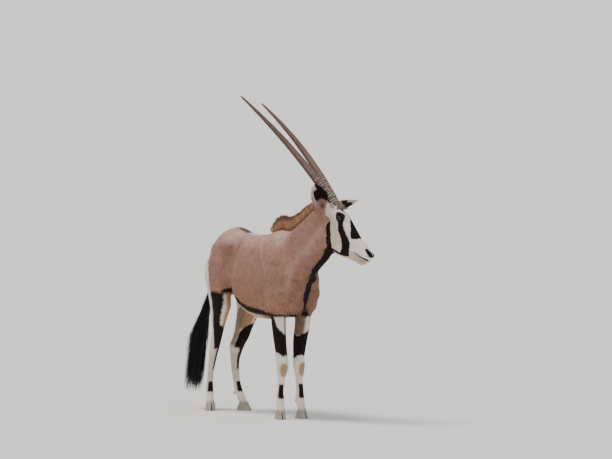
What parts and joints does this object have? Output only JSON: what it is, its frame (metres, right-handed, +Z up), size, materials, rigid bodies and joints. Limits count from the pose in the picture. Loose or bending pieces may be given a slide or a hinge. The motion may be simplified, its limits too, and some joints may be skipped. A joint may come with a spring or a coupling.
{
  "type": "gemsbok model",
  "caption": "Life-size standing gemsbok, an antelope with long straight ringed horns, a masked face and a black tail, head turned to its left, as a still museum model.",
  "frame": {"origin": "centre of the bounding box, on the floor that the hooves stand on", "axes": "+X the way the body faces, +Y the animal's left, +Z up"},
  "size_m": [1.6674, 0.7028, 2.0411],
  "materials": {
    "coat": "short flat hair, pinkish grey-brown",
    "face": "very short white hair with black patches",
    "leg_dark": "short flat hair, black-brown",
    "leg_pale": "short flat hair, white with dark marks",
    "horn": "ringed keratin, satin towards the tip",
    "hoof": "worn dusty keratin",
    "eye": "wet and dark",
    "mane": "short upright hair, orange-brown",
    "tail": "long coarse black hair"
  },
  "bodies": {
    "root": {"ear_left": "coat", "ear_right": "coat", "eye_left": "eye", "eye_right": "eye", "foreleg_left_lower": "leg_pale", "foreleg_left_upper": "leg_dark", "foreleg_right_lower": "leg_pale", "foreleg_right_upper": "leg_dark", "head": "face", "hindleg_left_lower": "leg_pale", "hindleg_left_upper": "leg_dark", "hindleg_right_lower": "leg_pale", "hindleg_right_upper": "leg_dark", "hoof_fore_left_inner": "hoof", "hoof_fore_left_outer": "hoof", "hoof_fore_right_inner": "hoof", "hoof_fore_right_outer": "hoof", "hoof_hind_left_inner": "hoof", "hoof_hind_left_outer": "hoof", "hoof_hind_right_inner": "hoof", "hoof_hind_right_outer": "hoof", "horn_left": "horn", "horn_right": "horn", "mane": "mane", "neck": "coat", "tail": "coat", "tail_tuft": "tail", "torso": "coat"}
  },
  "joints": []
}
